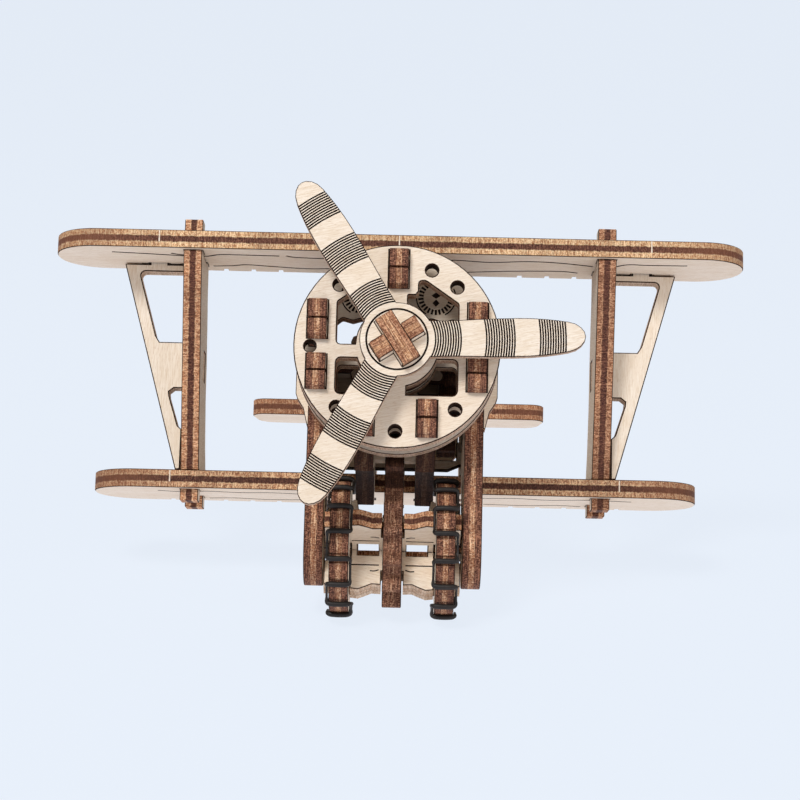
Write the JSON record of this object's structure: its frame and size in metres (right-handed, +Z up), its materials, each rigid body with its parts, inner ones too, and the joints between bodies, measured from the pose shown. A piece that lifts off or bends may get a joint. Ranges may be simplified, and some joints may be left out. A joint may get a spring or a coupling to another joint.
{
  "type": "propeller plane model",
  "caption": "Toy biplane of interlocking laser-cut plywood plates; rolling its laced wheels turns the propeller through wooden gears.",
  "frame": {"origin": "centre of the bounding box on the ground plane the model stands on", "axes": "+X along the wings, to the right when looking at the nose from the front; -Y the way the nose points; +Z up from the ground the model stands on"},
  "size_m": [0.152, 0.1374, 0.0913],
  "materials": {
    "airframe_ply": "sanded birch plywood, laser-charred edges",
    "wing_ply": "sanded birch plywood, laser-charred edges, engraved lines",
    "strut_ply": "sanded birch plywood, laser-charred edges",
    "nose_ply": "sanded birch plywood, laser-charred edges, engraved dials",
    "propeller_ply": "sanded birch plywood, engraved stripes",
    "drive_ply": "birch plywood with dark laser-charred edges",
    "pin_wood": "plain turned wood",
    "rubber_thread": "matt black rubber thread"
  },
  "bodies": {
    "airframe": {"front_disc": "nose_ply", "instrument_disc": "nose_ply", "outer_side_left": "airframe_ply", "outer_side_right": "airframe_ply", "inner_side_left": "airframe_ply", "inner_side_right": "airframe_ply", "top_spine": "airframe_ply", "mid_frame": "airframe_ply", "lower_frame": "airframe_ply", "rear_frame": "airframe_ply", "tail_frame": "airframe_ply", "upper_wing": "wing_ply", "lower_wing": "wing_ply", "strut_left": "strut_ply", "strut_right": "strut_ply", "brace_left": "strut_ply", "brace_right": "strut_ply", "tailplane": "wing_ply", "fin": "wing_ply", "tail_skid": "airframe_ply", "idler_pin": "pin_wood"},
    "wheel_axle": {"axle_plate_a": "drive_ply", "axle_plate_b": "drive_ply", "wheel_left": "drive_ply", "wheel_right": "drive_ply", "axle_gear": "drive_ply", "tyre_cord_left": "rubber_thread", "tyre_cord_right": "rubber_thread"},
    "idler": {"idler_gear": "drive_ply"},
    "layshaft": {"layshaft_plate_a": "drive_ply", "layshaft_plate_b": "drive_ply", "layshaft_gear": "drive_ply", "crown_wheel": "drive_ply"},
    "propeller": {"propeller": "propeller_ply", "shaft_plate_a": "drive_ply", "shaft_plate_b": "drive_ply", "shaft_collar": "drive_ply", "prop_gear": "drive_ply"}
  },
  "joints": [
    {"name": "axle_spin", "type": "hinge", "parent": "airframe", "child": "wheel_axle", "pos_m": [0, -0.04603, 0.01482], "axis": [1, 0, 0], "continuous": true},
    {"name": "idler_spin", "type": "hinge", "parent": "airframe", "child": "idler", "pos_m": [0, -0.03493, 0.03231], "axis": [1, 0, 0], "continuous": true},
    {"name": "layshaft_spin", "type": "hinge", "parent": "airframe", "child": "layshaft", "pos_m": [0, -0.01992, 0.0466], "axis": [1, 0, 0], "continuous": true},
    {"name": "propeller_spin", "type": "hinge", "parent": "airframe", "child": "propeller", "pos_m": [0, -0.04987, 0.0587], "axis": [0, 0.9272, -0.3746], "continuous": true}
  ],
  "couplings": [
    {"joint": "idler_spin", "follows": "axle_spin", "ratio": -1.2},
    {"joint": "layshaft_spin", "follows": "axle_spin", "ratio": 1},
    {"joint": "propeller_spin", "follows": "axle_spin", "ratio": 1.75}
  ]
}
